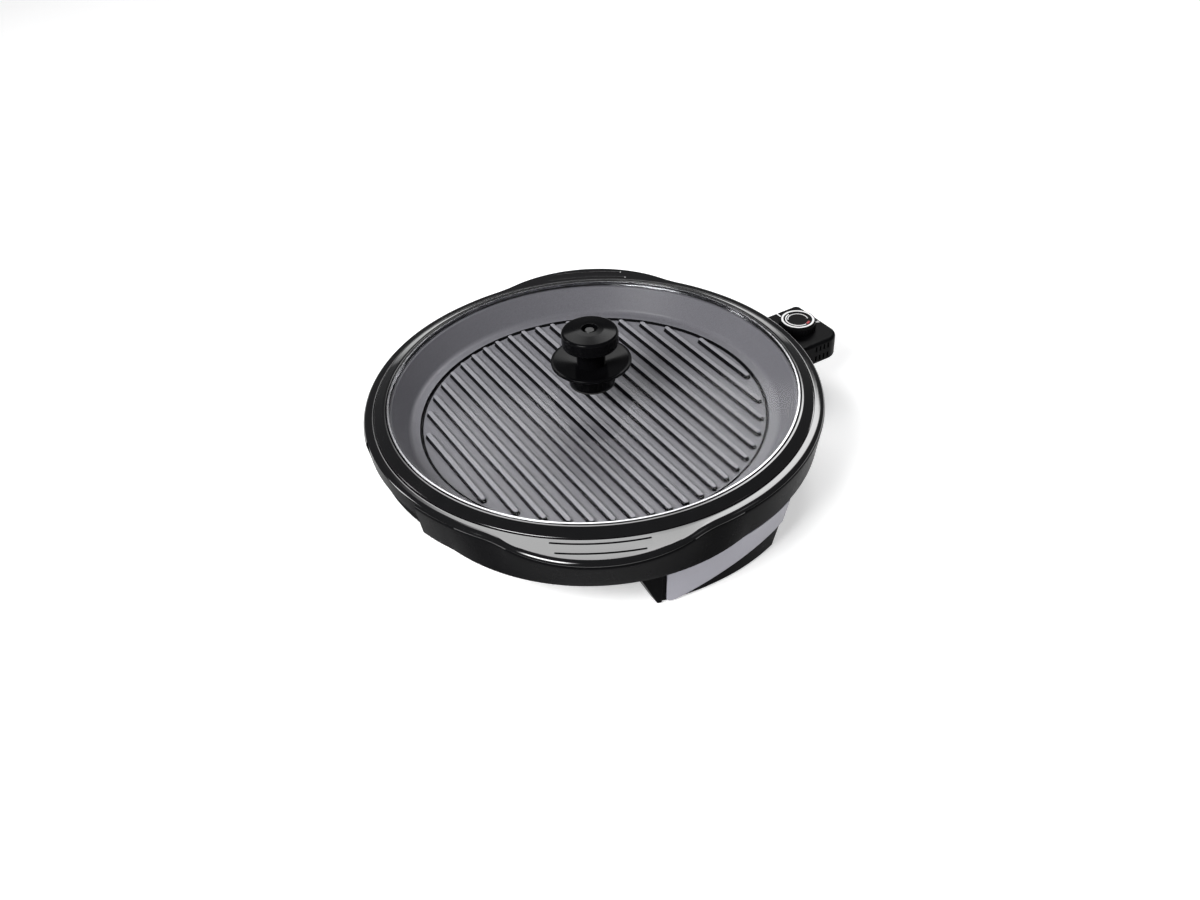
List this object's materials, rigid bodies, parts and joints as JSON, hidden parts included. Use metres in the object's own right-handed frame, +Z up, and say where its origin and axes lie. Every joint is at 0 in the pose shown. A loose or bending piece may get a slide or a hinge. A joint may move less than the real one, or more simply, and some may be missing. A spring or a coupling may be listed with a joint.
{
  "type": "electric grill",
  "caption": "Round table-top electric grill with a ribbed cast plate in a black ring with side handles, a lift-off glass lid with a knob, and a plug-in heat control with a dial.",
  "frame": {"origin": "on the table, under the middle of the grill's bounding box, which lies 18 mm from the plate's axis because the heat control stands out on one side", "axes": "+Z up from the table; Y runs through the two handles, with the near handle at -Y; the heat control points out at 30 degrees from +X towards +Y"},
  "size_m": [0.4565, 0.4552, 0.1474],
  "materials": {
    "black_gloss": "moulded, glossy",
    "control_black": "moulded, satin",
    "nonstick_cast": "dark non-stick coating",
    "pressed_steel": "plated sheet",
    "black_sheet": "black heat-proof enamel",
    "element_sheath": "heat-darkened sheath",
    "bright_metal": "polished",
    "contact_brass": "turned",
    "ceramic": "unglazed insulator",
    "silver_panel": "satin silver paint",
    "pad_rubber": "soft matte",
    "clear_glass": "clear, polished"
  },
  "bodies": {
    "base": {"base_ring": "black_gloss", "grill_plate": "nonstick_cast", "heat_shield": "black_sheet", "heating_element": "element_sheath", "terminal_pins": "contact_brass", "terminal_beads": "ceramic", "element_clips": "pressed_steel", "clip_screws": "pressed_steel", "terminal_guard": "pressed_steel", "guard_screws": "pressed_steel", "shield_screws": "pressed_steel", "plate_screws": "pressed_steel", "leg_screws": "pressed_steel", "leg_pads": "pad_rubber", "leg_front": "black_gloss", "leg_rear": "black_gloss", "leg_panel_front": "silver_panel", "leg_panel_rear": "silver_panel"},
    "lid": {"lid_glass": "clear_glass", "lid_band": "bright_metal", "knob_seal": "pad_rubber", "knob_base": "black_gloss", "knob_flange": "black_gloss", "knob_stem": "black_gloss", "knob_cap": "black_gloss", "knob_screw": "bright_metal", "knob_washer": "pressed_steel", "knob_nut": "pressed_steel"},
    "control": {"control_cover": "control_black", "control_tray": "control_black", "control_screws": "pressed_steel", "contact_block": "ceramic", "receptacles": "contact_brass", "heat_sensor": "element_sheath", "thermostat": "ceramic", "cord_outlet": "control_black"},
    "dial": {"dial": "control_black", "dial_shaft": "pressed_steel"}
  },
  "joints": [
    {"name": "lid_lift", "type": "slide", "parent": "base", "child": "lid", "axis": [0, 0, 1], "range_m": [0, 0.15]},
    {"name": "control_plug", "type": "slide", "parent": "base", "child": "control", "axis": [0.866, 0.5, 0], "range_m": [0, 0.11]},
    {"name": "dial_turn", "type": "hinge", "parent": "control", "child": "dial", "pos_m": [0.19152, 0.121, 0.0572], "axis": [0, 0, 1], "range_deg": [0, 270]}
  ]
}
